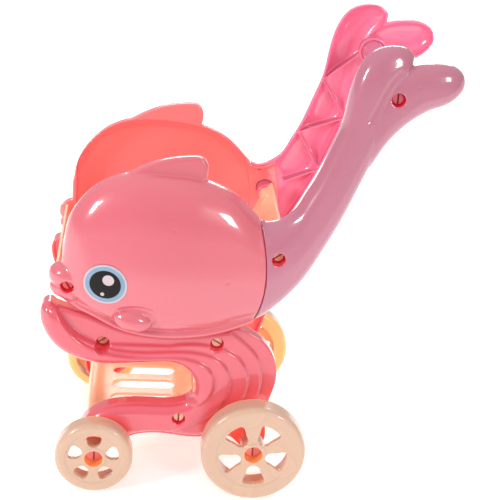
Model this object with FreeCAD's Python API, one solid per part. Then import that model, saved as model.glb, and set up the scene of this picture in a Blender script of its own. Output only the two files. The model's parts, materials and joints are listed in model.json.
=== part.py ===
import FreeCAD, Part
import math
import os
from FreeCAD import Vector

# Doll stroller shaped like a dolphin, lying in millimetres: the fish looks towards -X, +Z is up
# and every side part is drawn once on the +Y side and mirrored to the -Y side.

WALL = 2.4
GAP = 0.3
SCREW_CLEARANCE = 0.05

# Side shells: the open rim of each shell lies in the plane RIM_Y.
RIM_Y = 72.0
OPEN_SIDE = 6.0
SEAM_GAP = 0.8
ARCH_POWER = 2.5
ARCH_STEPS = 8

# Each station gives the upper edge (x, z), the lower edge (x, z) and the bulge of the shell.
BODY_STATIONS = [
    ((-157.6, 234.0), (-157.6, 206.0), 5.0),
    ((-153.5, 254.5), (-153.5, 186.0), 14.0),
    ((-145.5, 270.5), (-145.5, 177.5), 21.0),
    ((-132.0, 285.8), (-132.0, 169.0), 26.5),
    ((-110.0, 298.0), (-110.0, 158.5), 31.0),
    ((-85.0, 302.0), (-84.0, 152.0), 33.5),
    ((-60.0, 301.0), (-56.0, 151.0), 34.0),
    ((-35.0, 296.5), (-28.0, 154.0), 32.0),
    ((-15.5, 288.0), (-8.0, 159.0), 29.0),
    ((2.8, 272.6), (6.0, 164.0), 25.5),
]
STEM_STATIONS = [
    ((14.0, 261.8), (18.0, 169.0), 22.5),
    ((25.4, 261.0), (33.0, 181.5), 20.0),
    ((38.0, 268.1), (50.0, 201.0), 18.5),
    ((48.0, 282.5), (67.0, 230.5), 17.5),
    ((57.1, 300.5), (82.3, 262.5), 17.0),
    ((65.0, 321.0), (95.0, 294.5), 16.5),
    ((72.5, 342.0), (104.0, 318.0), 16.5),
    ((77.5, 364.0), (110.0, 343.0), 16.5),
    ((81.0, 386.0), (115.0, 369.0), 16.5),
    ((87.5, 405.0), (122.5, 389.0), 15.5),
    ((97.5, 416.8), (129.0, 400.0), 13.0),
    ((108.5, 421.0), (130.6, 405.5), 10.5),
    ((118.5, 421.4), (131.4, 410.5), 7.0),
    ((125.2, 419.6), (131.0, 414.5), 3.0),
]
REAR_LOBE_STATIONS = [
    ((76.0, 334.0), (95.0, 301.0), 12.0),
    ((86.0, 356.0), (108.5, 323.5), 14.0),
    ((100.0, 379.0), (121.0, 343.5), 14.5),
    ((117.0, 397.0), (136.0, 358.5), 14.5),
    ((138.0, 407.0), (153.0, 369.0), 15.0),
    ((157.0, 408.2), (166.5, 375.5), 13.5),
    ((167.0, 405.9), (172.8, 381.5), 10.5),
    ((173.2, 401.4), (176.0, 386.8), 6.5),
    ((175.9, 397.0), (177.0, 391.4), 2.5),
]

# Outer seam between body and tail, and the rear end of the tongue that the tail laps over.
SEAM_LINE = [(-4.0, 335.0), (12.6, 262.0), (19.6, 222.0), (18.4, 193.0), (10.0, 164.0), (-2.0, 135.0)]
TONGUE_END = [(20.0, 335.0), (37.0, 266.0), (45.0, 205.0), (42.0, 140.0)]
TONGUE_START_BACK = 4.0
TONGUE_HOLE = (22.6, 252.0)
TONGUE_HOLE_RADIUS = 1.8
FAR_LEFT = -220.0

FIN_TOP = [
    (-103.0, 299.5), (-89.0, 307.6), (-68.2, 315.2), (-50.0, 317.7), (-40.3, 316.8),
    (-35.6, 311.0), (-35.0, 303.0), (-37.0, 292.0),
]
FIN_FOOT = [(-60.0, 288.0), (-90.0, 290.0)]
FIN_OUT = 80.0
FIN_ROUND = 3.0

# Upper and lower lobe of the snout, as stations like those of the body.
UPPER_LOBE = [
    ((-169.4, 206.0), (-169.4, 201.0), 4.0),
    ((-166.8, 211.0), (-166.8, 196.8), 11.0),
    ((-161.5, 214.6), (-161.5, 194.0), 15.5),
    ((-154.0, 216.0), (-154.0, 192.0), 18.0),
    ((-146.5, 215.0), (-146.5, 193.0), 19.0),
]
LOWER_LOBE = [
    ((-168.6, 193.6), (-168.6, 189.8), 3.5),
    ((-165.5, 197.0), (-165.5, 185.6), 9.0),
    ((-160.0, 199.5), (-160.0, 182.6), 13.0),
    ((-153.0, 200.0), (-153.0, 180.6), 16.0),
    ((-146.5, 198.0), (-146.5, 179.0), 17.0),
]
SNOUT_SCREW = (-152.5, 196.5)

FLIPPER = (-94.5, 171.5)
FLIPPER_RADII = (17.5, 10.0, 10.5)
FLIPPER_OUT = 97.0
FLIPPER_TILT = 12.0

# Rolled lip along the belly: height above and below the lower edge, and its share of the bulge.
# Its front end, under the snout, has sections of its own.
LIP_UP = 9.0
LIP_DOWN = 1.0
LIP_SHARE = 0.66
LIP_FRONT = [
    ((-166.3, 192.0), (-164.6, 186.0), 3.5),
    ((-161.5, 191.5), (-159.5, 181.5), 7.0),
    ((-154.0, 188.5), (-152.5, 177.0), 10.0),
    ((-146.0, 184.0), (-145.0, 172.5), 13.0),
]

EYE = (-119.3, 206.0)
EYE_RADIUS = 19.0
STICKER_LIFT = 0.25
STICKER_THICKNESS = 0.4

# Slotted screws and their recesses.
HEAD_RADIUS = 4.5
AXLE_HEAD_RADIUS = 7.2
HEAD_HEIGHT = 2.6
RECESS_RADIUS = 5.8
BOSS_RADIUS = 8.0
SHANK_RADIUS = 2.0
SLOT_WIDTH = 1.6
SLOT_DEPTH = 1.4
TAIL_SCREW = (29.8, 231.0)
TAIL_SCREW_FLOOR = 80.0
FLUKE_SCREW = (120.0, 378.0)
FLUKE_SCREW_FLOOR = 78.0
SNOUT_SCREW_FLOOR = 79.0
SCREW_END = 58.0

# Wave frame on each side.
FRAME_IN = 64.0
FRAME_OUTLINE = [
    (-163.0, 175.0), (-169.0, 178.0), (-174.5, 174.5), (-176.4, 166.0), (-172.5, 150.0),
    (-160.0, 133.0), (-146.0, 124.5), (-128.0, 119.5), (-105.0, 118.8), (-70.0, 121.6),
    (-52.0, 120.0), (-40.5, 111.0), (-36.2, 98.0), (-39.5, 85.5), (-50.0, 79.2),
    (-75.0, 77.5), (-105.0, 76.0), (-123.0, 70.0), (-137.0, 57.0), (-141.5, 40.0),
    (-134.0, 25.0), (-120.0, 22.0), (-108.0, 30.0), (-94.0, 40.5), (-80.0, 44.5),
    (-60.0, 44.5), (-30.0, 42.0), (-10.0, 44.5), (2.0, 41.0), (10.0, 33.5), (21.0, 31.5),
    (30.0, 38.0), (31.5, 55.0), (31.5, 78.0), (36.5, 96.0), (38.0, 112.0), (34.5, 127.0),
    (26.0, 140.5), (12.0, 151.0), (1.0, 155.5),
]
FRAME_TOP = [(1.0, 155.5), (-28.0, 150.5), (-56.0, 148.0), (-84.0, 149.0), (-110.0, 155.0),
             (-132.0, 164.5), (-148.0, 169.5), (-163.0, 175.0)]
FRAME_FACE = 76.0
TERRACES = [
    (79.0, [
        (-20.0, 175.0), (2.0, 147.0), (18.0, 131.0), (24.4, 105.0), (20.0, 82.0),
        (-2.0, 52.0), (-12.0, 30.0),
    ]),
    (82.0, [
        (-60.0, 139.0), (-20.0, 139.5), (4.0, 127.0), (12.5, 104.3), (5.0, 80.0),
        (-18.0, 57.0), (-30.0, 30.0),
    ]),
    (85.0, [
        (-162.0, 186.0), (-149.0, 154.0), (-121.0, 138.0), (-75.0, 133.5), (-35.0, 134.0),
        (-11.0, 123.0), (-3.8, 103.8), (-9.0, 84.0), (-30.0, 62.0), (-60.0, 51.0),
        (-95.0, 44.0), (-115.0, 15.0),
    ]),
    (88.0, [
        (-164.0, 188.0), (-154.0, 160.0), (-140.0, 143.5), (-112.0, 131.5), (-73.0, 129.0),
        (-38.0, 127.5), (-22.5, 117.0), (-19.0, 102.0), (-24.0, 88.0), (-34.0, 80.0),
    ]),
]
FRAME_SCREWS = [(-120.5, 138.5, 76.0), (-18.3, 141.0, 79.0), (-49.5, 66.0, 85.0)]
FRAME_SCREW_DEPTH = 7.5

# Wheels: hub position, radius, outer face, width, radius of the spoke openings.
REAR_HUB = (18.6, 47.5)
FRONT_HUB = (-125.2, 35.15)
REAR_WHEEL = (47.5, 114.0, 22.5, 31.3)
FRONT_WHEEL = (35.15, 107.7, 20.5, 23.2)
TREAD_ROUND = 5.0
RIM_STEP = 0.8
WEB_THICKNESS = 5.0
HUB_HOLE = 8.0
HUB_TUBE = 10.6
HUB_FLOOR_DEPTH = 13.3
STUB_RADIUS = 5.0
BEARING_CLEARANCE = 0.08
OPENING_INNER = 11.6
OPENING_HALF_IN = 6.2
OPENING_SPREAD = 0.24
OPENING_CORNER = 3.0
SPOKES = 5

# Seat and shelf.
SEAT_HALF = 69.5
SEAT_WALL = 2.6
SEAT_LINE = [
    (-161.0, 212.0), (-158.0, 198.0), (-149.0, 185.0),
    (-130.0, 173.0), (-95.0, 164.5), (-50.0, 163.0), (-15.0, 168.0), (0.0, 181.0),
    (16.0, 210.0), (34.0, 243.0),
]
SEAT_LEG = (9.0, 50.0, 63.7)
SEAT_BOSS_RADIUS = 7.0
SEAT_BOSS_IN = 48.0
SHELF_HALF = 63.7
SHELF_FLOOR = 55.0
SHELF_FRONT_LINE = [
    (-134.5, 51.0), (-134.3, 57.0), (-131.0, 62.0), (-126.5, 61.5), (-122.0, 57.0),
    (-116.0, SHELF_FLOOR + 0.2), (-108.0, SHELF_FLOOR),
]
SHELF_REAR_LINE = [(-56.0, SHELF_FLOOR), (-47.0, 58.5), (-40.5, 68.0), (-38.0, 82.0)]
SHELF_WALL = 2.6
SHELF_SLOT_PITCH = 28.0
SHELF_SLOT_WIDTH = 16.0
SHELF_SLOT = (-112.0, -52.0)
SHELF_SIDE = [
    (-130.0, 59.0), (-112.0, 52.5), (-58.0, 52.0), (-44.0, 60.0), (-36.5, 82.0),
    (-42.0, 82.0), (-56.0, 74.0), (-110.0, 70.0), (-126.0, 62.5),
]
SHELF_BOSS_IN = 50.0

BAR_RADIUS = 10.8
BAR_WALL = 2.5
BAR_HALF = 71.0
SOCKET_RADIUS = 13.4
SOCKET_IN = 66.0
BAR_BOSS_RADIUS = 4.6
BAR_BOSS_IN = 48.0

# Zigzag stiffening ribs inside the tail, as pairs of end points.
TAIL_RIBS = [
    ((70.0, 341.5), (112.0, 375.0)),
    ((73.5, 350.0), (104.0, 304.5)),
    ((105.0, 311.0), (51.0, 291.0)),
    ((55.0, 297.0), (83.0, 250.0)),
    ((86.0, 258.5), (46.5, 241.8)),
]
RIB_THICKNESS = 1.4
RIB_IN = 75.0
RIB_HEIGHT = 30.0


def at(point, y=0.0):
    return Vector(point[0], y, point[1])


def curve(points, y=0.0):
    spline = Part.BSplineCurve()
    spline.interpolate([at(p, y) for p in points])
    return spline.toShape()


def slab(edges, y_from, y_to):
    wire = Part.Wire(edges)
    moved = wire.copy()
    moved.translate(Vector(0, y_from, 0))
    return Part.Face(moved).extrude(Vector(0, y_to - y_from, 0))


def rod(centre, radius, y_from, y_to):
    return Part.makeCylinder(radius, y_to - y_from, at(centre, y_from), Vector(0, 1, 0))


def mirrored(shape):
    return shape.mirror(Vector(0, 0, 0), Vector(0, 1, 0))


def save(shape, node):
    shape.exportStep(f"parts/{node}.step")


def save_pair(shape, node):
    save(shape, f"{node}_right")
    save(mirrored(shape), f"{node}_left")


def normals(line):
    """Unit normals on the right-hand side of a line of points, seen along the line."""
    found = []
    last = len(line) - 1
    for index in range(len(line)):
        before = line[max(index - 1, 0)]
        after = line[min(index + 1, last)]
        run = math.hypot(after[0] - before[0], after[1] - before[1])
        found.append(((after[1] - before[1]) / run, (before[0] - after[0]) / run))
    return found


def offset_line(line, distance):
    """The line moved sideways to its right by the distance."""
    return [(x + distance * nx, z + distance * nz) for (x, z), (nx, nz) in zip(line, normals(line))]


def arch(upper, lower, bulge, inset):
    """Closed D-shaped section across a shell, shrunk by the inset."""
    span = Vector(lower[0] - upper[0], 0, lower[1] - upper[1])
    half = span.Length / 2 - inset
    along = span.normalize()
    middle = Vector((upper[0] + lower[0]) / 2, RIM_Y, (upper[1] + lower[1]) / 2)
    rise = max(bulge - inset, 1.0)
    points = []
    for step in range(ARCH_STEPS + 1):
        angle = math.pi * step / ARCH_STEPS
        side = math.copysign(abs(math.cos(angle)) ** (2 / ARCH_POWER), -math.cos(angle))
        out = math.sin(angle) ** (2 / ARCH_POWER) if 0 < step < ARCH_STEPS else 0.0
        points.append(middle + along * (half * side) + Vector(0, rise * out, 0))
    spline = Part.BSplineCurve()
    spline.interpolate(points)
    inner = [points[-1] - Vector(0, OPEN_SIDE, 0), points[0] - Vector(0, OPEN_SIDE, 0)]
    if inset <= 0:
        return Part.Wire([spline.toShape(), Part.makeLine(points[-1], points[0])])
    return Part.Wire([
        spline.toShape(),
        Part.makeLine(points[-1], inner[0]),
        Part.makeLine(inner[0], inner[1]),
        Part.makeLine(inner[1], points[0]),
    ])


def dome(stations, inset=0.0):
    return Part.makeLoft([arch(*station, inset) for station in stations], True, False)


def left_of(line, shift=0.0):
    """Everything in front of a line that runs from top to bottom."""
    moved = [(x + shift, z) for x, z in line]
    high = (FAR_LEFT, moved[0][1])
    low = (FAR_LEFT, moved[-1][1])
    edges = [
        curve(moved),
        Part.makeLine(at(moved[-1]), at(low)),
        Part.makeLine(at(low), at(high)),
        Part.makeLine(at(high), at(moved[0])),
    ]
    return slab(edges, 50.0, 130.0)


def slotted_screw(centre, floor, head_radius, end, slot_angle):
    head = rod(centre, head_radius, floor, floor + HEAD_HEIGHT)
    slot = Part.makeBox(3 * head_radius, SLOT_DEPTH, SLOT_WIDTH)
    slot.translate(Vector(-1.5 * head_radius, 0, -SLOT_WIDTH / 2))
    slot.rotate(Vector(0, 0, 0), Vector(0, 1, 0), slot_angle)
    slot.translate(at(centre, floor + HEAD_HEIGHT - SLOT_DEPTH))
    shank = rod(centre, SHANK_RADIUS, end, floor)
    return head.cut(slot).fuse(shank)


def with_recess(shape, centre, floor, face, boss_in):
    """Adds a boss behind a shell and sinks a screw recess into it from outside."""
    boss = rod(centre, BOSS_RADIUS, boss_in, face)
    hole = rod(centre, RECESS_RADIUS, floor, face + 40)
    pilot = rod(centre, SHANK_RADIUS + SCREW_CLEARANCE, boss_in - 1, floor + 1)
    return shape.fuse(boss).cut(hole).cut(pilot)


def side_skin():
    stations = BODY_STATIONS + STEM_STATIONS
    return dome(stations), dome(stations[1:-1], WALL)


def flipper():
    scale = FreeCAD.Matrix()
    scale.scale(*FLIPPER_RADII)
    bump = Part.makeSphere(1.0).transformGeometry(scale)
    bump.rotate(Vector(0, 0, 0), Vector(0, 1, 0), FLIPPER_TILT)
    bump.translate(at(FLIPPER, FLIPPER_OUT))
    return bump


def lip(stations):
    """Rolled lip that follows the lower edge of the stations, after its front end."""
    sections = list(LIP_FRONT)
    for upper, lower, bulge in stations:
        run = math.hypot(upper[0] - lower[0], upper[1] - lower[1])
        x_step, z_step = (upper[0] - lower[0]) / run, (upper[1] - lower[1]) / run
        high = (lower[0] + LIP_UP * x_step, lower[1] + LIP_UP * z_step)
        low = (lower[0] - LIP_DOWN * x_step, lower[1] - LIP_DOWN * z_step)
        sections.append((high, low, bulge * LIP_SHARE))
    return dome(sections)


def fin():
    edges = [curve(FIN_TOP)]
    corners = [FIN_TOP[-1]] + FIN_FOOT + [FIN_TOP[0]]
    for first, second in zip(corners, corners[1:]):
        edges.append(Part.makeLine(at(first), at(second)))
    outer = slab(edges, RIM_Y, FIN_OUT)
    rim = [e for e in outer.Edges if abs(e.BoundBox.YMin - FIN_OUT) < 0.01 and e.Length > 70]
    return outer.makeFillet(FIN_ROUND, rim)


def tongue(stations):
    outer = dome(stations, WALL + GAP)
    inner = dome(stations, 2 * WALL + GAP)
    strip = left_of(TONGUE_END).cut(left_of(SEAM_LINE, -TONGUE_START_BACK))
    collar = left_of(SEAM_LINE, -SEAM_GAP / 2).cut(left_of(SEAM_LINE, -TONGUE_START_BACK))
    joggle = dome(stations, WALL / 2).cut(inner).common(collar)
    open_side = Part.makeBox(200.0, RIM_Y - 40.0, 300.0, Vector(-80.0, 40.0, 100.0))
    return outer.cut(inner).common(strip).fuse(joggle).cut(open_side)


def body_shell(outer, inner):
    front = left_of(SEAM_LINE, -SEAM_GAP / 2)
    hollow = inner.common(front)
    belly_lip = lip(BODY_STATIONS[3:] + STEM_STATIONS[:2]).common(front)
    shell = outer.common(front).fuse(belly_lip).cut(hollow)
    for bump in (dome(UPPER_LOBE), dome(LOWER_LOBE), fin(), flipper()):
        shell = shell.fuse(bump.cut(hollow))
    shell = shell.fuse(tongue(BODY_STATIONS[-3:] + STEM_STATIONS[:4]))
    shell = with_recess(shell, SNOUT_SCREW, SNOUT_SCREW_FLOOR, SNOUT_SCREW_FLOOR + 5, RIM_Y)
    shell = shell.cut(rod(TAIL_SCREW, BOSS_RADIUS + GAP, 60.0, 120.0))
    return shell.cut(rod(TONGUE_HOLE, TONGUE_HOLE_RADIUS, 60.0, 120.0))


def tail_shell(outer, inner):
    rear = left_of(SEAM_LINE, SEAM_GAP / 2)
    stem = outer.cut(rear)
    shell = stem.fuse(dome(REAR_LOBE_STATIONS))
    hollows = [inner.cut(rear), dome(REAR_LOBE_STATIONS[:-1], WALL)]
    ribs = [tail_rib(start, end) for start, end in TAIL_RIBS]
    for hollow in hollows:
        shell = shell.cut(hollow.cut(ribs))
    shell = with_recess(shell, TAIL_SCREW, TAIL_SCREW_FLOOR, TAIL_SCREW_FLOOR + 9, RIM_Y)
    shell = with_recess(shell, FLUKE_SCREW, FLUKE_SCREW_FLOOR, FLUKE_SCREW_FLOOR + 6, RIM_Y + GAP)
    socket = rod(FLUKE_SCREW, SOCKET_RADIUS, SOCKET_IN, RIM_Y + 4)
    seat = rod(FLUKE_SCREW, BAR_RADIUS + SCREW_CLEARANCE, SOCKET_IN - 1, RIM_Y)
    pilot = rod(FLUKE_SCREW, SHANK_RADIUS + SCREW_CLEARANCE, SOCKET_IN, RIM_Y + 8)
    return shell.fuse(socket).cut(seat).cut(pilot)


def tail_rib(start, end):
    length = math.hypot(end[0] - start[0], end[1] - start[1])
    plate = Part.makeBox(length, RIB_HEIGHT, RIB_THICKNESS)
    plate.translate(Vector(0, 0, -RIB_THICKNESS / 2))
    slope = math.degrees(math.atan2(end[1] - start[1], end[0] - start[0]))
    plate.rotate(Vector(0, 0, 0), Vector(0, 1, 0), -slope)
    plate.translate(at(start, RIB_IN))
    return plate


def frame_side():
    outline = [curve(FRAME_OUTLINE), curve(FRAME_TOP)]
    solid = slab(outline, FRAME_IN, FRAME_FACE).cut(frame_hollow())
    for face, line in TERRACES:
        level = slab(outline, FRAME_FACE - 1, face).common(terrace(line, face))
        solid = solid.fuse(level)
    return solid


def terrace(line, face):
    """Raised level of the frame: all that lies in front of a line, up to its own face."""
    high = (FAR_LEFT, line[0][1])
    low = (FAR_LEFT, line[-1][1])
    edges = [
        curve(line),
        Part.makeLine(at(line[-1]), at(low)),
        Part.makeLine(at(low), at(high)),
        Part.makeLine(at(high), at(line[0])),
    ]
    return slab(edges, FRAME_IN, face)


def frame_hollow():
    side = offset_line(FRAME_OUTLINE, -WALL)
    top = side[-1:] + offset_line(FRAME_TOP, -WALL)[1:-1] + side[:1]
    return slab([curve(side), curve(top)], FRAME_IN - 1, FRAME_FACE - WALL)


def stub(hub, wheel):
    face = wheel[1]
    length_end = face - HUB_FLOOR_DEPTH + GAP
    shoulder = face - wheel[2] - GAP
    boss = rod(hub, BOSS_RADIUS, FRAME_IN, shoulder)
    return boss.fuse(rod(hub, STUB_RADIUS, FRAME_IN, length_end))


def base_frame():
    shape = frame_side()
    for hub, wheel in ((REAR_HUB, REAR_WHEEL), (FRONT_HUB, FRONT_WHEEL)):
        shape = shape.fuse(stub(hub, wheel))
        shape = shape.cut(rod(hub, SHANK_RADIUS + SCREW_CLEARANCE, FRAME_IN + 6, 120.0))
    for x, z, face in FRAME_SCREWS:
        shape = with_recess(shape, (x, z), face - FRAME_SCREW_DEPTH, face - 1, FRAME_IN)
    return shape


def wheel_opening(turn, inner, outer, y_from, y_to):
    """Rounded trapezoid hole between two spokes."""
    half_out = OPENING_HALF_IN + OPENING_SPREAD * (outer - inner)
    radius = OPENING_HALF_IN
    shoulder = inner + radius
    left_in = Vector(-radius, 0, -shoulder)
    right_in = Vector(radius, 0, -shoulder)
    reach = math.sqrt(outer * outer - half_out * half_out)
    left_out = Vector(-half_out, 0, -reach)
    right_out = Vector(half_out, 0, -reach)
    edges = [
        Part.Arc(left_in, Vector(0, 0, -inner), right_in).toShape(),
        Part.makeLine(right_in, right_out),
        Part.Arc(right_out, Vector(0, 0, -outer), left_out).toShape(),
        Part.makeLine(left_out, left_in),
    ]
    hole = slab(edges, y_from, y_to)
    upright = [e for e in hole.Edges if abs(e.Length - (y_to - y_from)) < 0.01]
    corners = [e for e in upright if e.BoundBox.ZMax < -reach + 0.1]
    hole = hole.makeFillet(OPENING_CORNER, corners)
    hole.rotate(Vector(0, 0, 0), Vector(0, 1, 0), turn)
    return hole


def wheel(hub, sizes, turn):
    radius, face, width, opening = sizes
    inside = face - width
    ring = rod((0, 0), radius, inside, face)
    rims = [e for e in ring.Edges if e.Closed]
    ring = ring.makeFillet(TREAD_ROUND, rims)
    web_radius = opening + 2.6
    ring = ring.cut(rod((0, 0), web_radius, face - RIM_STEP, face + 1))
    ring = ring.cut(rod((0, 0), web_radius, inside - 1, face - RIM_STEP - WEB_THICKNESS))
    hub_tube = rod((0, 0), HUB_TUBE, inside, face)
    body = ring.fuse(hub_tube)
    body = body.cut(rod((0, 0), HUB_HOLE, face - HUB_FLOOR_DEPTH, face + 1))
    body = body.cut(rod((0, 0), STUB_RADIUS + BEARING_CLEARANCE, inside - 1, face))
    for index in range(SPOKES):
        angle = turn + 360.0 * index / SPOKES
        body = body.cut(wheel_opening(angle, OPENING_INNER, opening, inside, face + 1))
    body.translate(at(hub))
    return body


def axle_screw(hub, wheel):
    floor = wheel[1] - HUB_FLOOR_DEPTH + GAP
    return slotted_screw(hub, floor, AXLE_HEAD_RADIUS, FRAME_IN + 8.0, 90.0)


def frame_screws():
    screws = []
    for (x, z, face), angle in zip(FRAME_SCREWS, (-35.0, 30.0, 90.0)):
        screws.append(slotted_screw((x, z), face - FRAME_SCREW_DEPTH, HEAD_RADIUS, SCREW_END - 3, angle))
    return Part.makeCompound(screws)


def eye_sticker():
    stations = BODY_STATIONS[:7]
    film = dome(stations, -STICKER_LIFT - STICKER_THICKNESS).cut(dome(stations, -STICKER_LIFT))
    return film.common(rod(EYE, EYE_RADIUS, RIM_Y + 10, 120.0))


def handle_bar():
    bar = rod(FLUKE_SCREW, BAR_RADIUS, -BAR_HALF, BAR_HALF)
    bar = bar.cut(rod(FLUKE_SCREW, BAR_RADIUS - BAR_WALL, BAR_WALL - BAR_HALF, BAR_HALF - BAR_WALL))
    boss = rod(FLUKE_SCREW, BAR_BOSS_RADIUS, BAR_BOSS_IN, BAR_HALF)
    pilot = rod(FLUKE_SCREW, SHANK_RADIUS + SCREW_CLEARANCE, BAR_BOSS_IN - 1, BAR_HALF + 1)
    return bar.fuse(boss).fuse(mirrored(boss)).cut(pilot).cut(mirrored(pilot))


def seat():
    sheet = slab_from_line(SEAT_LINE, SEAT_WALL, SEAT_HALF)
    for x, z, face in FRAME_SCREWS[:2]:
        for side in (-1, 1):
            sheet = sheet.fuse(seat_leg(x, z, side))
    for centre in (TAIL_SCREW, SNOUT_SCREW):
        boss = rod(centre, SEAT_BOSS_RADIUS, SEAT_BOSS_IN, SEAT_HALF)
        sheet = sheet.fuse(boss).fuse(mirrored(boss))
    holes = [(x, z) for x, z, face in FRAME_SCREWS[:2]] + [TAIL_SCREW, SNOUT_SCREW]
    for centre in holes:
        pilot = rod(centre, SHANK_RADIUS + SCREW_CLEARANCE, SCREW_END - 5, 90.0)
        sheet = sheet.cut(pilot).cut(mirrored(pilot))
    return sheet


def seat_leg(x, z, side):
    radius, inner, outer = SEAT_LEG
    low = Part.makeBox(2 * radius, outer - inner, 166.0 - z)
    low.translate(Vector(x - radius, inner, z))
    leg = low.fuse(rod((x, z), radius, inner, outer))
    return leg if side > 0 else mirrored(leg)


def slab_from_line(line, thickness, half):
    """Sheet of even thickness that follows a line and spans the full width."""
    lower = offset_line(line, thickness)
    edges = [
        curve(line),
        Part.makeLine(at(line[-1]), at(lower[-1])),
        curve(lower[::-1]),
        Part.makeLine(at(lower[0]), at(line[0])),
    ]
    return slab(edges, -half, half)


def shelf_sheet():
    """Shelf with a rolled front lip, a flat floor and a back that curves up."""
    front_low = offset_line(SHELF_FRONT_LINE, SHELF_WALL)
    rear_low = offset_line(SHELF_REAR_LINE, SHELF_WALL)
    edges = [
        curve(SHELF_FRONT_LINE),
        Part.makeLine(at(SHELF_FRONT_LINE[-1]), at(SHELF_REAR_LINE[0])),
        curve(SHELF_REAR_LINE),
        Part.makeLine(at(SHELF_REAR_LINE[-1]), at(rear_low[-1])),
        curve(rear_low[::-1]),
        Part.makeLine(at(rear_low[0]), at(front_low[-1])),
        curve(front_low[::-1]),
        Part.makeLine(at(front_low[0]), at(SHELF_FRONT_LINE[0])),
    ]
    return slab(edges, -SHELF_HALF, SHELF_HALF)


def shelf():
    sheet = shelf_sheet()
    for row in (-1, 0, 1):
        y = row * SHELF_SLOT_PITCH
        radius = SHELF_SLOT_WIDTH / 2
        start, end = SHELF_SLOT
        slot = Part.makeBox(end - start - 2 * radius, 2 * radius, 30.0)
        slot.translate(Vector(start + radius, y - radius, 40.0))
        for x in (start + radius, end - radius):
            slot = slot.fuse(Part.makeCylinder(radius, 30.0, Vector(x, y, 40.0)))
        sheet = sheet.cut(slot)
    x, z, face = FRAME_SCREWS[2]
    corners = SHELF_SIDE + SHELF_SIDE[:1]
    edges = [Part.makeLine(at(first), at(second)) for first, second in zip(corners, corners[1:])]
    side = slab(edges, SHELF_HALF - SHELF_WALL, SHELF_HALF)
    side = side.fuse(rod((x, z), BOSS_RADIUS, SHELF_BOSS_IN, SHELF_HALF))
    sheet = sheet.fuse(side).fuse(mirrored(side))
    pilot = rod((x, z), SHANK_RADIUS + SCREW_CLEARANCE, SCREW_END - 5, 90.0)
    return sheet.cut(pilot).cut(mirrored(pilot))


def main():
    os.makedirs("parts", exist_ok=True)
    outer, inner = side_skin()
    save_pair(body_shell(outer, inner), "body_shell")
    save_pair(tail_shell(outer, inner), "tail_shell")
    save_pair(base_frame(), "base_frame")
    save_pair(wheel(REAR_HUB, REAR_WHEEL, -4.0), "wheel_rear")
    save_pair(wheel(FRONT_HUB, FRONT_WHEEL, 36.0), "wheel_front")
    save(seat(), "seat")
    save(shelf(), "shelf_tray")
    save(handle_bar(), "handle_bar")
    save_pair(eye_sticker(), "eye_sticker")
    save_pair(frame_screws(), "frame_screws")
    save_pair(axle_screw(REAR_HUB, REAR_WHEEL), "axle_screw_rear")
    save_pair(axle_screw(FRONT_HUB, FRONT_WHEEL), "axle_screw_front")
    save_pair(slotted_screw(TAIL_SCREW, TAIL_SCREW_FLOOR, HEAD_RADIUS, SCREW_END, -35.0), "tail_screw")
    save_pair(slotted_screw(FLUKE_SCREW, FLUKE_SCREW_FLOOR, HEAD_RADIUS, SCREW_END, 90.0), "fluke_screw")
    save_pair(slotted_screw(SNOUT_SCREW, SNOUT_SCREW_FLOOR, HEAD_RADIUS, SCREW_END, 60.0), "snout_screw")


main()
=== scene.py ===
import json
import math
import bmesh
import bpy
import numpy as np
from mathutils import Matrix, Vector

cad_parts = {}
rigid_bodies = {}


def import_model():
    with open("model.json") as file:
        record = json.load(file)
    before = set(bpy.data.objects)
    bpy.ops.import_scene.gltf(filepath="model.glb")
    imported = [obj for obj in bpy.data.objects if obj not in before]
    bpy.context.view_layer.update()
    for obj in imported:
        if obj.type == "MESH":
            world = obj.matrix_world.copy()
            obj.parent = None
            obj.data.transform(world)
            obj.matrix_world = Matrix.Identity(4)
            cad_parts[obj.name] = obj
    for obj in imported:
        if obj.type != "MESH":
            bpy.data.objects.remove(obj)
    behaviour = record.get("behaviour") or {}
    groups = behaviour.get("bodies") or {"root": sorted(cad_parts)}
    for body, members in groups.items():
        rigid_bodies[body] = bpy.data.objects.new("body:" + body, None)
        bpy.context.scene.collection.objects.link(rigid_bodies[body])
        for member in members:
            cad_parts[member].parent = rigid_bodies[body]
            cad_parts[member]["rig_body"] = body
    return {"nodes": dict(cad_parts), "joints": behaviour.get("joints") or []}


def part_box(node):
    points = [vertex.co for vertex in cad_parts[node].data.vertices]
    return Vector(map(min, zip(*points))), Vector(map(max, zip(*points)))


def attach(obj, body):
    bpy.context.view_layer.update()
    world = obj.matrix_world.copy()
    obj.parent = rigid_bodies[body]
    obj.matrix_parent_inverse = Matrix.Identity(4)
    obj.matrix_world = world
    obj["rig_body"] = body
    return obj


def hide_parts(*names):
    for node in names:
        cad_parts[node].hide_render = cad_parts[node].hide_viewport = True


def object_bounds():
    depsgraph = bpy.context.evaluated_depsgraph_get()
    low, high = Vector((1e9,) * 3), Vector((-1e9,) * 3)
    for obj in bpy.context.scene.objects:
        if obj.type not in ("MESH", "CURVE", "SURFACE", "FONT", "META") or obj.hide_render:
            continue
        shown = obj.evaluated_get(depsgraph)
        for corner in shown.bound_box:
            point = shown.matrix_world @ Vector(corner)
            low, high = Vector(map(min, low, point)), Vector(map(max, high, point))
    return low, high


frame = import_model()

MM = 0.001
cad_low, cad_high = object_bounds()
NODES = frame["nodes"]

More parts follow.
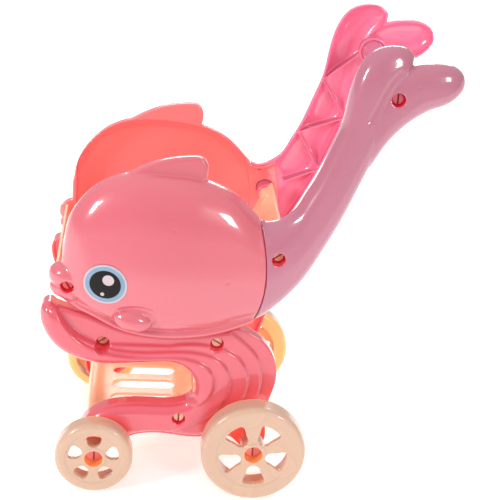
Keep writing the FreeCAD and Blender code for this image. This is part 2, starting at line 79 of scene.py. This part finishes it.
# ---------------------------------------------------------------- materials
# Base colours, as linear red, green and blue.
BODY_PINK = (0.71, 0.136, 0.176)
TAIL_LILAC = (0.51, 0.155, 0.228)
BASE_PINK = (0.68, 0.088, 0.124)
WHEEL_CREAM = (0.62, 0.410, 0.290)
SEAT_CREAM = (0.92, 0.560, 0.350)
SCREW_PINK = (0.82, 0.210, 0.200)
# Shaded copies of the pink screw plastic, for the snout and fluke screws: painted shade.
SCREW_PINK_SHADED = (0.80, 0.060, 0.050)
SCREW_PINK_DEEP_SHADED = (0.62, 0.050, 0.120)
SCREW_CREAM = (0.85, 0.520, 0.330)
STICKER_WHITE = (0.56, 0.500, 0.540)
# Inner faces painted lighter and more saturated: painted light coming through the thin shells and
# wheels.
BODY_INNER_LIT = (0.90, 0.190, 0.190)
TAIL_INNER_LIT = (0.86, 0.170, 0.300)
BASE_INNER_LIT = (0.90, 0.110, 0.120)
WHEEL_INNER_LIT = (0.96, 0.480, 0.160)
# Painted light and shade in round spots: shade in the screw recesses, lit walls in the wheel hubs, glow
# on the frame behind the wheels.
RECESS_SHADE_RED = (0.70, 0.020, 0.045)
HUB_LIT_ORANGE = (0.84, 0.310, 0.110)
WELL_GLOW_RED = (0.92, 0.090, 0.080)
# Painted shade in the slots across screw heads.
SLOT_SHADE = (0.42, 0.015, 0.015)
BAR_LILAC = (0.62, 0.200, 0.310)
EYE_BLACK = (0.010, 0.008, 0.008)
EYE_BLUE = (0.25, 0.360, 0.500)
EYE_GLINT = (0.62, 0.500, 0.530)
FLECK_TINT = (1.0, 0.900, 0.900)
# Paler tint of the painted highlight along sharp edges.
EDGE_HIGHLIGHT_TINT = (1.0, 0.860, 0.840)

# Share of its own colour given off as painted glow, standing in for light coming through thin plastic:
# inner faces, and the painted spots in recesses and wells.
INNER_GLOW = 0.22
SPOT_GLOW = 0.16
# How far sharp edges go towards the paler colour of the painted edge highlight.
EDGE_HIGHLIGHT = 0.35
# Darkest and lightest share of the colour in the mottling.
MOTTLE_SHADES = (0.965, 1.025)
# Scales of the noises in the plastic.
MOTTLE_SCALE = 14.0
FLECK_SCALE = 900.0
GLOSS_SCALE = 18.0
PEEL_SCALE = 700.0
WAVE_SCALE = 24.0
# Depths of the bumps, in metres.
PEEL_DEPTH = 0.0002
WAVE_DEPTH = 0.0010
# Distances that red, green and blue light travel in the plastic, and their scale in metres.
LIGHT_REACH = (1.0, 0.45, 0.35)
LIGHT_SCALE = 0.004
# Half width and half length of the slot across a screw's head, in millimetres.
SLOT_HALF = 0.8
SLOT_REACH = 8.0
# Radii in millimetres: a screw's recess, and the round hub of a wheel.
RECESS_RADIUS = 5.9
HUB_RADIUS = 8.2
# Radii of the printed eye's pupil and blue ring, its glints, and the blur of the print's edges.
EYE_RINGS = (13.5, 17.2)
EYE_GLINTS = [((2.6, 4.6), 4.9), ((-2.3, -9.6), 1.6)]
RING_EDGE = 0.25


class Graph:
    """Short way to build a material's nodes."""

    def __init__(self, name):
        self.material = bpy.data.materials.new(name)
        self.material.use_nodes = True
        self.tree = self.material.node_tree
        self.shader = self.tree.nodes["Principled BSDF"]

    def add(self, kind, **values):
        node = self.tree.nodes.new(kind)
        for key, value in values.items():
            setattr(node, key, value)
        return node

    def link(self, source, target):
        self.tree.links.new(source, target)

    def settle(self, values):
        """Set the shader's own sockets."""
        for name, value in values.items():
            self.shader.inputs[name].default_value = value

    def place(self):
        return self.add("ShaderNodeTexCoord").outputs["Object"]

    def noise(self, scale, detail=3.0):
        noise = self.add("ShaderNodeTexNoise")
        noise.inputs["Scale"].default_value = scale
        noise.inputs["Detail"].default_value = detail
        noise.inputs["Roughness"].default_value = 0.5
        self.link(self.place(), noise.inputs["Vector"])
        return noise.outputs["Fac"]

    def bump(self, height, strength, depth, under=None):
        node = self.add("ShaderNodeBump")
        node.inputs["Strength"].default_value = strength
        node.inputs["Distance"].default_value = depth
        self.link(height, node.inputs["Height"])
        if under is not None:
            self.link(under, node.inputs["Normal"])
        return node.outputs["Normal"]

    def spread(self, source, low, high, start=0.3, end=0.7):
        """Values from start to end, spread from low to high."""
        node = self.add("ShaderNodeMapRange")
        node.inputs["From Min"].default_value = start
        node.inputs["From Max"].default_value = end
        node.inputs["To Min"].default_value = low
        node.inputs["To Max"].default_value = high
        self.link(source, node.inputs["Value"])
        return node.outputs["Result"]

    def turned_in(self):
        """1 on faces that look towards the middle plane, and 0 on the others."""
        geometry = self.add("ShaderNodeNewGeometry")
        parts = []
        for source in (geometry.outputs["Normal"], self.place()):
            split = self.add("ShaderNodeSeparateXYZ")
            self.link(source, split.inputs[0])
            parts.append(split.outputs["Y"])
        sign = self.add("ShaderNodeMath", operation="SIGN")
        self.link(parts[1], sign.inputs[0])
        return self.spread(self.both(parts[0], sign.outputs[0]), 1.0, 0.0, -0.35, 0.0)

    def distance(self, centre):
        """Distance in side view from a centre, in millimetres."""
        flat = self.add("ShaderNodeVectorMath", operation="MULTIPLY")
        flat.inputs[1].default_value = (1.0 / MM, 0.0, 1.0 / MM)
        self.link(self.place(), flat.inputs[0])
        gap = self.add("ShaderNodeVectorMath", operation="DISTANCE")
        gap.inputs[1].default_value = (centre[0], 0.0, centre[1])
        self.link(flat.outputs[0], gap.inputs[0])
        return gap.outputs["Value"]

    def beside(self, centre, turn):
        """Distance in side view, in millimetres, from a line through a centre."""
        across = self.add("ShaderNodeVectorMath", operation="DOT_PRODUCT")
        x_part, z_part = math.sin(math.radians(turn)), math.cos(math.radians(turn))
        across.inputs[1].default_value = (x_part / MM, 0.0, z_part / MM)
        self.link(self.place(), across.inputs[0])
        shift = self.add("ShaderNodeMath", operation="SUBTRACT")
        shift.inputs[1].default_value = centre[0] * x_part + centre[1] * z_part
        self.link(across.outputs["Value"], shift.inputs[0])
        size = self.add("ShaderNodeMath", operation="ABSOLUTE")
        self.link(shift.outputs[0], size.inputs[0])
        return size.outputs[0]

    def both(self, first, second):
        """Product of two values."""
        node = self.add("ShaderNodeMath", operation="MULTIPLY")
        self.link(first, node.inputs[0])
        self.link(second, node.inputs[1])
        return node.outputs[0]

    def mix(self, factor, first, second):
        """Blend of two colours, each a tuple or an output of another node."""
        node = self.add("ShaderNodeMix", data_type="RGBA")
        self.link(factor, node.inputs["Factor"])
        for socket, value in ((node.inputs[6], first), (node.inputs[7], second)):
            if isinstance(value, tuple):
                socket.default_value = (*value, 1.0)
            else:
                self.link(value, socket)
        return node.outputs[2]


def scaled(colour, share):
    return tuple(min(1.0, channel * share) for channel in colour)


def toward(colour, other, share):
    return tuple(a + (b - a) * share for a, b in zip(colour, other))


def plastic(
    name, colour, rough=0.24, coat=0.35, subsurface=0.12, glow=0.0, lit_inner=None, spots=(), slots=()
):
    """Moulded plastic: soft mottling, uneven gloss, fine orange peel and edges painted paler as a
    highlight.
    Inner faces take a lighter painted colour and a painted glow, standing in for light coming through
    them.
    So do the round spots, painted shade and glow in recesses and wells, each given as a centre, a
    radius, a soft edge and a colour.
    Slots across screw heads are painted dark as shade, each given as a centre and a turn."""
    graph = Graph(name)
    mottling = graph.spread(graph.noise(MOTTLE_SCALE, 1.0), 0.0, 1.0, 0.2, 0.8)
    tone = graph.mix(mottling, *(scaled(colour, shade) for shade in MOTTLE_SHADES))
    flecks = graph.spread(graph.noise(FLECK_SCALE, 1.0), 0.0, 0.10, 0.60, 0.85)
    tone = graph.mix(flecks, tone, toward(colour, FLECK_TINT, 0.30))
    geometry = graph.add("ShaderNodeNewGeometry")
    # Sharp edges painted paler: a painted highlight.
    edge = graph.spread(geometry.outputs["Pointiness"], 0.0, EDGE_HIGHLIGHT, 0.53, 0.62)
    tone = graph.mix(edge, tone, toward(colour, EDGE_HIGHLIGHT_TINT, 0.45))
    # Painted glow over the whole surface, a share of the colour, standing in for light through the
    # plastic.
    light = scaled(colour, glow)
    # Inner faces painted in a lighter colour with a painted glow, for light coming through the thin
    # plastic.
    if lit_inner is not None:
        within = graph.turned_in()
        tone = graph.mix(within, tone, lit_inner)
        light = graph.mix(within, light, scaled(lit_inner, INNER_GLOW))
    # Round spots painted in a colour and a glow: painted shade in screw recesses, painted light in wheel
    # hubs and behind the wheels.
    for centre, radius, soft, painted_tone in spots:
        within = graph.spread(graph.distance(centre), 1.0, 0.0, radius, radius + soft)
        tone = graph.mix(within, tone, painted_tone)
        light = graph.mix(within, light, scaled(painted_tone, SPOT_GLOW))
    # Slot floors painted dark: painted shade.
    for centre, turn in slots:
        near = graph.spread(graph.distance(centre), 1.0, 0.0, SLOT_REACH, SLOT_REACH + 0.5)
        along = graph.spread(graph.beside(centre, turn), 1.0, 0.0, SLOT_HALF - 0.1, SLOT_HALF + 0.1)
        tone = graph.mix(graph.both(near, along), tone, SLOT_SHADE)
    graph.link(tone, graph.shader.inputs["Base Color"])
    if isinstance(light, tuple):
        graph.settle({"Emission Color": (*light, 1.0)})
    else:
        graph.link(light, graph.shader.inputs["Emission Color"])
    gloss = graph.spread(graph.noise(GLOSS_SCALE, 1.0), rough - 0.02, rough + 0.03, 0.2, 0.8)
    graph.link(gloss, graph.shader.inputs["Roughness"])
    peel = graph.bump(graph.noise(PEEL_SCALE), 0.10, PEEL_DEPTH)
    wave = graph.bump(graph.noise(WAVE_SCALE, 0.0), 0.10, WAVE_DEPTH, under=peel)
    graph.link(wave, graph.shader.inputs["Normal"])
    graph.settle({
        "Emission Strength": 1.0,
        "Coat Weight": coat,
        "Coat Roughness": 0.05,
        "Coat IOR": 1.6,
        "IOR": 1.5,
        "Subsurface Weight": subsurface,
        "Subsurface Radius": LIGHT_REACH,
        "Subsurface Scale": LIGHT_SCALE,
    })
    return graph.material


def eye_print(node):
    """Printed eye: black pupil with two glints, blue ring and pale rim."""
    middle = centre_of(node)
    graph = Graph("eye_print")
    away = graph.distance(middle)
    grain = graph.spread(graph.noise(90.0), 0.0, 1.0)
    ring = graph.mix(grain, scaled(EYE_BLUE, 0.92), scaled(EYE_BLUE, 1.06))
    tone = EYE_BLACK
    for radius, outside in zip(EYE_RINGS, (ring, STICKER_WHITE)):
        tone = graph.mix(graph.spread(away, 0.0, 1.0, radius, radius + RING_EDGE), tone, outside)
    for (x, z), radius in EYE_GLINTS:
        glint = graph.distance((middle[0] + x, middle[1] + z))
        tone = graph.mix(graph.spread(glint, 1.0, 0.0, radius, radius + RING_EDGE), tone, EYE_GLINT)
    graph.link(tone, graph.shader.inputs["Base Color"])
    graph.link(graph.spread(graph.noise(120.0), 0.16, 0.28), graph.shader.inputs["Roughness"])
    peel = graph.bump(graph.noise(600.0), 0.06, PEEL_DEPTH)
    graph.link(peel, graph.shader.inputs["Normal"])
    graph.settle({"Specular IOR Level": 0.2})
    return graph.material


def centre_of(node):
    """Middle of a node in side view, in millimetres."""
    low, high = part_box(node)
    return ((low.x + high.x) / 2 / MM, (low.z + high.z) / 2 / MM)


def dress(material, *nodes):
    for name in nodes:
        slots = NODES[name].data.materials
        slots.clear()
        slots.append(material)


def pair(name):
    return [f"{name}_left", f"{name}_right"]


# ---------------------------------------------------------------- moulded meshes
# Each moulded piece is a finer copy of its node: it is remeshed, pressed into shape and softened.
FINAL_ROUNDS = 2
WELD = 1e-6


def welded(mesh):
    """Work mesh without doubled corners."""
    work = bmesh.new()
    work.from_mesh(mesh)
    bmesh.ops.remove_doubles(work, verts=work.verts, dist=WELD)
    return work


def coords(mesh):
    """The mesh's corners in millimetres."""
    flat = np.empty(len(mesh.vertices) * 3)
    mesh.vertices.foreach_get("co", flat)
    return flat.reshape(-1, 3) / MM


def set_coords(mesh, places):
    mesh.vertices.foreach_set("co", (places * MM).ravel())
    mesh.update()


def normals(mesh):
    flat = np.empty(len(mesh.vertices) * 3, np.float32)
    mesh.vertex_normals.foreach_get("vector", flat)
    return flat.reshape(-1, 3)


def joined(mesh):
    """Copy of the mesh without doubled corners."""
    work = welded(mesh)
    copy = bpy.data.meshes.new(mesh.name)
    work.to_mesh(copy)
    work.free()
    return copy


def remeshed(mesh, voxel, rounds):
    """Even mesh over the same solid, with its edges rubbed round."""
    holder = bpy.data.objects.new("holder", mesh)
    bpy.context.scene.collection.objects.link(holder)
    remesh = holder.modifiers.new("remesh", "REMESH")
    remesh.mode = "VOXEL"
    remesh.voxel_size = voxel * MM
    remesh.use_smooth_shade = True
    smooth = holder.modifiers.new("smooth", "SMOOTH")
    smooth.factor = 0.5
    smooth.iterations = rounds
    done = holder.evaluated_get(bpy.context.evaluated_depsgraph_get())
    result = bpy.data.meshes.new_from_object(done)
    bpy.data.objects.remove(holder)
    return result


def moulded(node, voxel, rounds, press=None):
    mesh = remeshed(joined(NODES[node].data), voxel, rounds)
    if press is not None:
        set_coords(mesh, press(coords(mesh), normals(mesh)))
        mesh = remeshed(mesh, voxel, FINAL_ROUNDS)
    return mesh


def flipped(mesh):
    """The same piece for the other side."""
    other = mesh.copy()
    set_coords(other, coords(mesh) * np.array((1.0, -1.0, 1.0)))
    other.flip_normals()
    return other


def show(mesh, node, material):
    piece = bpy.data.objects.new(f"{node}_moulded", mesh)
    bpy.context.scene.collection.objects.link(piece)
    mesh.materials.clear()
    mesh.materials.append(material)
    mesh.polygons.foreach_set("use_smooth", np.ones(len(mesh.polygons), bool))
    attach(piece, NODES[node]["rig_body"])
    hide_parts(node)
    return piece


def show_pair(name, material, voxel, rounds, press=None):
    mesh = moulded(f"{name}_left", voxel, rounds, press)
    show(mesh, f"{name}_left", material)
    show(flipped(mesh), f"{name}_right", material)


def ramp(value, start, end):
    """0 below start, 1 above end, and smooth between."""
    share = np.clip((value - start) / (end - start), 0.0, 1.0)
    return share * share * (3.0 - 2.0 * share)


def gap_to_segments(points, segments):
    """Distance from each (x, z) point to the nearest of the segments."""
    nearest = np.full(len(points), np.inf)
    for first, second in segments:
        run = second - first
        share = np.clip(((points - first) @ run) / max(run @ run, 1e-9), 0.0, 1.0)
        nearest = np.minimum(nearest, np.hypot(*(points - first - share[:, None] * run).T))
    return nearest


def outer_share(facing):
    """1 on faces that look outwards, which is along -Y on this side, and 0 on the others."""
    return ramp(-facing[:, 1], 0.1, 0.5)


def press_groove(places, facing, line, depth, width):
    """Rounded groove along a line of (x, z) points on the outer face."""
    away = gap_to_segments(places[:, (0, 2)], zip(line, line[1:]))
    places[:, 1] += depth * np.exp(-((away / width) ** 2)) * outer_share(facing)


def press_dimples(places, facing, centres):
    """Small round sink marks on the outer face."""
    for x, z in centres:
        away = np.hypot(places[:, 0] - x, places[:, 2] - z)
        push = DIMPLE_DEPTH * np.exp(-((away / DIMPLE_RADIUS) ** 2))
        places[:, 1] += push * outer_share(facing)


# ---------------------------------------------------------------- body and tail details
FLIPPER = (-94.5, 171.5)
SOCKET = (-91.0, 174.5)
SOCKET_SIZE = (21.5, 13.0)
FLIPPER_SIZE = (17.5, 10.5)
SOCKET_DEPTH = 1.1
DIMPLE_RADIUS = 1.6
DIMPLE_DEPTH = 0.4
BODY_DIMPLES = [(-62.0, 260.0), (-14.0, 212.0)]
TAIL_DIMPLES = [(82.0, 312.0), (42.0, 240.0), (136.0, 390.0)]
LOBE_VALLEY = np.array([(118.5, 401.0), (111.0, 391.5), (105.7, 380.0), (101.0, 368.0), (97.6, 359.5)])
VALLEY_DEPTH = 1.2
VALLEY_WIDTH = 2.4


def oval(places, centre, size):
    """Distance from an oval's middle, which is 1 on its edge."""
    return np.hypot((places[:, 0] - centre[0]) / size[0], (places[:, 2] - centre[1]) / size[1])


def press_body(places, facing):
    """Socket around the flipper, which stays proud in it, and two sink marks."""
    pressed = places.copy()
    socket = 1.0 - ramp(oval(places, SOCKET, SOCKET_SIZE), 0.82, 1.0)
    clear = ramp(oval(places, FLIPPER, FLIPPER_SIZE), 1.0, 1.12)
    pressed[:, 1] += SOCKET_DEPTH * socket * clear * outer_share(facing)
    press_dimples(pressed, facing, BODY_DIMPLES)
    return pressed


def press_tail(places, facing):
    """Valley between the fluke's lobes, and three sink marks."""
    pressed = places.copy()
    press_groove(pressed, facing, LOBE_VALLEY, VALLEY_DEPTH, VALLEY_WIDTH)
    press_dimples(pressed, facing, TAIL_DIMPLES)
    return pressed


# ---------------------------------------------------------------- frame profile
# Heights are above the middle plane, in millimetres.
FRAME_BASE = 76.0
FRAME_STEP = 3.0
FRAME_LEVELS = 4
STEP_WIDTH = 2.4
# Shorter outlines, such as screw holes, are left out.
LOOP_MIN = 60.0
# A terrace's edge this close to the frame's outline belongs to the outline.
EDGE_SHARED = 0.7
HUB_KEEP = 10.0
# The rounded outline: its depth grows with the height over its foot, between two limits.
ROUND_FOOT = 74.5
ROUND_SHARE = 0.9
ROUND_LIMITS = (1.3, 11.0)
ROUND_REACH = 1.05
# A flat ledge runs along the frame's low part, between its front end and its rear end.
LEDGE = 3.5
LEDGE_TOP = (56.0, 50.0)
LEDGE_FRONT = (-108.0, -98.0)
LEDGE_REAR = (4.0, -6.0)


def cut_loops(node, height):
    """Outlines, in side view, where the node is cut at a height above the middle plane."""
    work = welded(NODES[node].data)
    everything = list(work.verts) + list(work.edges) + list(work.faces)
    cut = bmesh.ops.bisect_plane(
        work, geom=everything, plane_co=(0, -height * MM, 0), plane_no=(0, 1, 0)
    )["geom_cut"]
    edges = {item for item in cut if isinstance(item, bmesh.types.BMEdge)}
    loops = []
    while edges:
        stack, loop = [edges.pop()], []
        while stack:
            edge = stack.pop()
            loop.append([(v.co.x / MM, v.co.z / MM) for v in edge.verts])
            for vert in edge.verts:
                for other in vert.link_edges:
                    if other in edges:
                        edges.remove(other)
                        stack.append(other)
        loops.append(np.array(loop))
    work.free()
    lengths = [np.hypot(*(loop[:, 1] - loop[:, 0]).T).sum() for loop in loops]
    return [loop for loop, length in zip(loops, lengths) if length > LOOP_MIN]


def inside(points, segments):
    """Even-odd test of points against closed outlines."""
    odd = np.zeros(len(points), bool)
    for (x1, z1), (x2, z2) in segments:
        if z1 == z2:
            continue
        crosses = (points[:, 1] < z1) != (points[:, 1] < z2)
        reach = x1 + (points[:, 1] - z1) * (x2 - x1) / (z2 - z1)
        odd ^= crosses & (points[:, 0] < reach)
    return odd


def frame_press():
    """Pillowed face of the side frame: soft terraces and a rounded outline."""
    node = "base_frame_left"
    outline = np.concatenate(cut_loops(node, FRAME_BASE - 1.0))
    levels = []
    for step in range(FRAME_LEVELS):
        segments = np.concatenate(cut_loops(node, FRAME_BASE + FRAME_STEP * (step + 0.5)))
        shared = gap_to_segments(segments.mean(axis=1), outline) < EDGE_SHARED
        levels.append((segments, segments[~shared]))
    hubs = [joint["pos_m"] for joint in frame["joints"] if joint["child"].endswith("left")]

    def press(places, facing):
        pressed = places.copy()
        points = places[:, (0, 2)]
        busy = -places[:, 1] > FRAME_BASE - 2.0
        for hub in hubs:
            busy &= np.hypot(points[:, 0] - hub[0] / MM, points[:, 1] - hub[2] / MM) > HUB_KEEP
        near = points[busy]
        height = np.full(len(near), FRAME_BASE)
        for region, edge in levels:
            share = np.clip(gap_to_segments(near, edge) / STEP_WIDTH, 0.0, 1.0)
            height += FRAME_STEP * (1.0 - (1.0 - share) ** 2) * inside(near, region)
        depth = np.clip(ROUND_SHARE * (height - ROUND_FOOT), *ROUND_LIMITS)
        away = gap_to_segments(near, outline)
        low = ramp(near[:, 1], *LEDGE_TOP) * ramp(near[:, 0], *LEDGE_FRONT)
        low *= ramp(near[:, 0], *LEDGE_REAR)
        share = np.clip((away - LEDGE * low) / (ROUND_REACH * depth), 0.0, 1.0)
        height -= depth * (1.0 - np.sqrt(1.0 - (1.0 - share) ** 2))
        pressed[busy, 1] = -np.minimum(-places[busy, 1], height)
        return pressed

    return press


# ---------------------------------------------------------------- finishes
def parts_of(node):
    """Middles, in side view, of the separate solids in a node."""
    work = welded(NODES[node].data)
    left, middles = set(work.verts), []
    while left:
        stack, part = [left.pop()], []
        while stack:
            vert = stack.pop()
            part.append((vert.co.x / MM, vert.co.z / MM))
            for edge in vert.link_edges:
                other = edge.other_vert(vert)
                if other in left:
                    left.remove(other)
                    stack.append(other)
        low, high = np.min(part, axis=0), np.max(part, axis=0)
        middles.append(tuple((low + high) / 2))
    work.free()
    return middles


def spots_at(centres, radius, painted_tone):
    return [(centre, radius, SPOT_EDGE, painted_tone) for centre in centres]


def screw(name, colour, slots, glow=0.0):
    return plastic(name, colour, rough=0.30, coat=0.0, glow=glow, slots=slots)


AXLES = [centre_of("axle_screw_rear_left"), centre_of("axle_screw_front_left")]
FRAME_SCREWS = sorted(parts_of("frame_screws_left"))
TAIL_SCREW = centre_of("tail_screw_left")
FLUKE_SCREW = centre_of("fluke_screw_left")
SNOUT_SCREW = centre_of("snout_screw_left")
# How far each slot is turned from level, in degrees.
FRAME_TURNS = (-35.0, 90.0, 30.0)
TAIL_TURN = -35.0
SNOUT_TURN = 60.0
FLUKE_TURN = 90.0
AXLE_TURN = 90.0
# Radius and soft edge of the red discs painted on the frame behind the rear and front wheels: a painted
# glow where the frame lies in shade.
WELLS = ((34.0, 5.0), (25.0, 4.0))
SPOT_EDGE = 0.5

# Painted spots: shade around the screws, glow behind the wheels, lit walls in the wheel hubs.
snout_spot = spots_at([SNOUT_SCREW], RECESS_RADIUS, RECESS_SHADE_RED)
tail_spots = spots_at([TAIL_SCREW, FLUKE_SCREW], RECESS_RADIUS, RECESS_SHADE_RED)
frame_spots = [(axle, *well, WELL_GLOW_RED) for axle, well in zip(AXLES, WELLS)]
frame_spots += spots_at(FRAME_SCREWS, RECESS_RADIUS, RECESS_SHADE_RED)
hub_spots = spots_at(AXLES, HUB_RADIUS, HUB_LIT_ORANGE)
cream_slots = list(zip(FRAME_SCREWS, FRAME_TURNS)) + [(TAIL_SCREW, TAIL_TURN)]
axle_slots = [(axle, AXLE_TURN) for axle in AXLES]

# Glow shares paint a glow over whole pieces, standing in for light coming through the plastic.
body_pink = plastic("body_pink", BODY_PINK, coat=1.0, lit_inner=BODY_INNER_LIT, spots=snout_spot)
tail_lilac = plastic("tail_lilac", TAIL_LILAC, coat=1.0, lit_inner=TAIL_INNER_LIT, spots=tail_spots)
base_pink = plastic("base_pink", BASE_PINK, coat=1.0, glow=0.10, lit_inner=BASE_INNER_LIT, spots=frame_spots)
bar_lilac = plastic("bar_lilac", BAR_LILAC)
wheel_cream = plastic(
    "wheel_cream", WHEEL_CREAM, rough=0.26, coat=0.4, subsurface=0.3, glow=0.03,
    lit_inner=WHEEL_INNER_LIT, spots=hub_spots,
)
seat_cream = plastic("seat_cream", SEAT_CREAM, rough=0.28, coat=0.3, glow=0.05)
screw_pink = screw("screw_pink", SCREW_PINK, axle_slots, glow=0.10)
# Snout and fluke screws: the pink screw plastic in darker painted shade.
screw_pink_shaded = screw("screw_pink_shaded", SCREW_PINK_SHADED, [(SNOUT_SCREW, SNOUT_TURN)], glow=0.10)
screw_pink_deep_shaded = screw("screw_pink_deep_shaded", SCREW_PINK_DEEP_SHADED, [(FLUKE_SCREW, FLUKE_TURN)])
screw_cream = screw("screw_cream", SCREW_CREAM, cream_slots, glow=0.05)

show_pair("body_shell", body_pink, voxel=0.75, rounds=4, press=press_body)
show_pair("tail_shell", tail_lilac, voxel=0.65, rounds=4, press=press_tail)
show_pair("base_frame", base_pink, voxel=0.65, rounds=3, press=frame_press())
show_pair("wheel_rear", wheel_cream, voxel=0.65, rounds=3)
show_pair("wheel_front", wheel_cream, voxel=0.55, rounds=3)
show(moulded("seat", voxel=0.75, rounds=3), "seat", seat_cream)
show(moulded("shelf_tray", voxel=0.60, rounds=3), "shelf_tray", seat_cream)
show(moulded("handle_bar", voxel=0.60, rounds=2), "handle_bar", bar_lilac)
dress(screw_pink, *pair("axle_screw_front"), *pair("axle_screw_rear"))
dress(screw_pink_shaded, *pair("snout_screw"))
dress(screw_pink_deep_shaded, *pair("fluke_screw"))
dress(screw_cream, *pair("tail_screw"), *pair("frame_screws"))
dress(eye_print("eye_sticker_left"), *pair("eye_sticker"))

# ---------------------------------------------------------------- stage
FLOOR_HALF = 8.0
FLOOR_WHITE = (0.90, 0.90, 0.90)
# The floor's front part is darker, and fades to white between these places along Y.
FLOOR_FRONT = (0.45, 0.45, 0.45)
FLOOR_FADE = (-0.60, -0.46)
FLOOR_GLOW = 0.42
# Strength of the sky at the horizon and overhead.
SKY_LIGHT = (0.44, 0.86)


def make_floor():
    mesh = bpy.data.meshes.new("floor")
    corners = [(x * FLOOR_HALF, y * FLOOR_HALF, 0) for x, y in ((-1, -1), (1, -1), (1, 1), (-1, 1))]
    mesh.from_pydata(corners, [], [(0, 1, 2, 3)])
    floor = bpy.data.objects.new("floor", mesh)
    bpy.context.scene.collection.objects.link(floor)
    graph = Graph("floor")
    tone = graph.mix(graph.spread(graph.noise(3.0), 0.0, 1.0), scaled(FLOOR_WHITE, 0.99), FLOOR_WHITE)
    split = graph.add("ShaderNodeSeparateXYZ")
    graph.link(graph.place(), split.inputs[0])
    front = graph.spread(split.outputs["Y"], 1.0, 0.0, *FLOOR_FADE)
    tone = graph.mix(front, tone, FLOOR_FRONT)
    graph.link(tone, graph.shader.inputs["Base Color"])
    graph.link(tone, graph.shader.inputs["Emission Color"])
    graph.settle({"Roughness": 0.75, "Emission Strength": FLOOR_GLOW})
    mesh.materials.append(graph.material)


def softbox(name, position, size, watts):
    light = bpy.data.lights.new(name, "AREA")
    light.shape = "RECTANGLE"
    light.size, light.size_y = size
    light.energy = watts
    lamp = bpy.data.objects.new(name, light)
    bpy.context.scene.collection.objects.link(lamp)
    lamp.location = position
    target = (cad_low + cad_high) / 2
    lamp.rotation_euler = (target - Vector(position)).to_track_quat("-Z", "Y").to_euler()
    return lamp


def make_light():
    softbox("key", (-1.35, -0.95, 0.85), size=(0.28, 0.46), watts=12.0)
    softbox("fill", (0.95, -1.40, 0.70), size=(0.28, 0.42), watts=7.0)
    softbox("top", (-0.3, 0.3, 2.2), size=(2.4, 2.4), watts=9.0).visible_glossy = False
    softbox("back", (0.2, 1.7, 1.3), size=(1.6, 0.5), watts=16.0)
    world = bpy.data.worlds.new("studio")
    bpy.context.scene.world = world
    world.use_nodes = True
    tree = world.node_tree
    place = tree.nodes.new("ShaderNodeTexCoord")
    split = tree.nodes.new("ShaderNodeSeparateXYZ")
    rise = tree.nodes.new("ShaderNodeMapRange")
    rise.inputs["To Min"].default_value, rise.inputs["To Max"].default_value = SKY_LIGHT
    tree.links.new(place.outputs["Generated"], split.inputs[0])
    tree.links.new(split.outputs["Z"], rise.inputs["Value"])
    tree.links.new(rise.outputs["Result"], tree.nodes["Background"].inputs["Strength"])
    tree.nodes["Background"].inputs["Color"].default_value = (1.0, 1.0, 1.0, 1.0)


# ---------------------------------------------------------------- camera
# Place and lens in millimetres, angles in degrees.
CAMERA_PLACE = (-92.5, -1188.3, 710.7)
CAMERA_AZIMUTH = 5.03
CAMERA_ELEVATION = 23.16
CAMERA_ROLL = 4.17
SENSOR = 36.0
LENS = 99.86


def make_camera():
    azimuth, elevation, roll = (math.radians(v) for v in (CAMERA_AZIMUTH, CAMERA_ELEVATION, CAMERA_ROLL))
    forward = Vector((
        math.sin(azimuth) * math.cos(elevation),
        math.cos(azimuth) * math.cos(elevation),
        -math.sin(elevation),
    ))
    level = Vector((math.cos(azimuth), -math.sin(azimuth), 0.0))
    upright = level.cross(forward)
    right = level * math.cos(roll) + upright * math.sin(roll)
    up = upright * math.cos(roll) - level * math.sin(roll)
    data = bpy.data.cameras.new("camera")
    data.sensor_width = SENSOR
    data.lens = LENS
    camera = bpy.data.objects.new("camera", data)
    bpy.context.scene.collection.objects.link(camera)
    turn = Matrix((right, up, -forward)).transposed().to_4x4()
    camera.matrix_world = Matrix.Translation(Vector(CAMERA_PLACE) * MM) @ turn
    bpy.context.scene.camera = camera


make_floor()
make_light()
make_camera()
bpy.context.scene.view_settings.view_transform = "Standard"
